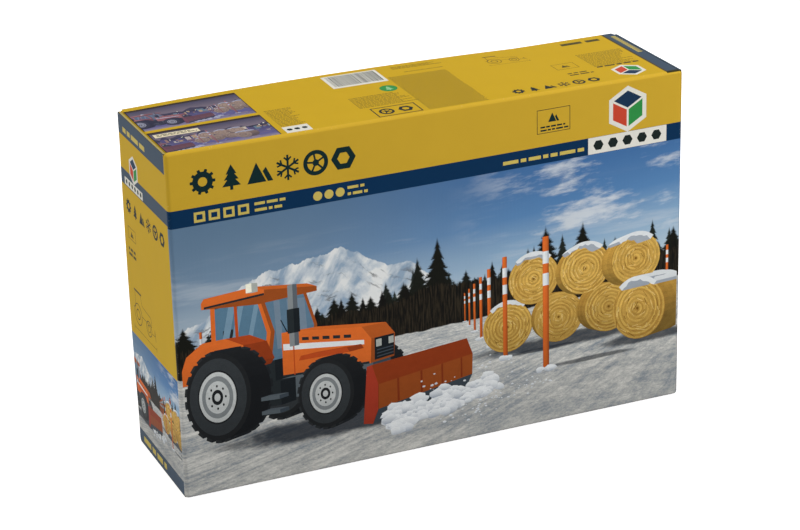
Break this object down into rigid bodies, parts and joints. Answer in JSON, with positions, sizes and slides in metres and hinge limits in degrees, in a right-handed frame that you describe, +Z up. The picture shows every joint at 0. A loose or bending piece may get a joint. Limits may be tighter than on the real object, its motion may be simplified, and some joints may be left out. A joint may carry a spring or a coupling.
{
  "type": "model kit carton",
  "caption": "Telescoping carton for a boxed hobby kit: a printed lid with full-depth walls slides off a plain tray, both folded from fluted board and glued at corner tabs.",
  "frame": {"origin": "under the middle of the carton, on the surface that it stands on", "axes": "+X along the long side, to the right of the printed front; +Y from the printed front to the tray's back; +Z up as the carton stands on a long wall"},
  "size_m": [0.427, 0.114, 0.2806],
  "materials": {
    "printed_front": "litho print under a satin laminate: a yellow band, a blue band and a snowy landscape",
    "printed_yellow": "yellow litho print under a satin laminate",
    "raw_board": "unprinted grey-brown micro-fluted board, matt"
  },
  "bodies": {
    "tray": {"tray_back_panel": "raw_board", "tray_top_wall": "raw_board", "tray_bottom_wall": "raw_board", "tray_left_end_wall": "raw_board", "tray_right_end_wall": "raw_board", "tray_top_left_tab": "raw_board", "tray_top_right_tab": "raw_board", "tray_bottom_left_tab": "raw_board", "tray_bottom_right_tab": "raw_board"},
    "lid": {"lid_front_panel": "printed_front", "lid_top_wall": "printed_yellow", "lid_bottom_wall": "printed_yellow", "lid_left_end_wall": "printed_yellow", "lid_right_end_wall": "printed_yellow", "lid_top_left_tab": "printed_yellow", "lid_top_right_tab": "printed_yellow", "lid_bottom_left_tab": "printed_yellow", "lid_bottom_right_tab": "printed_yellow"}
  },
  "joints": [
    {"name": "lid_off", "type": "slide", "parent": "tray", "child": "lid", "axis": [0, -1, 0], "range_m": [0, 0.15]}
  ]
}
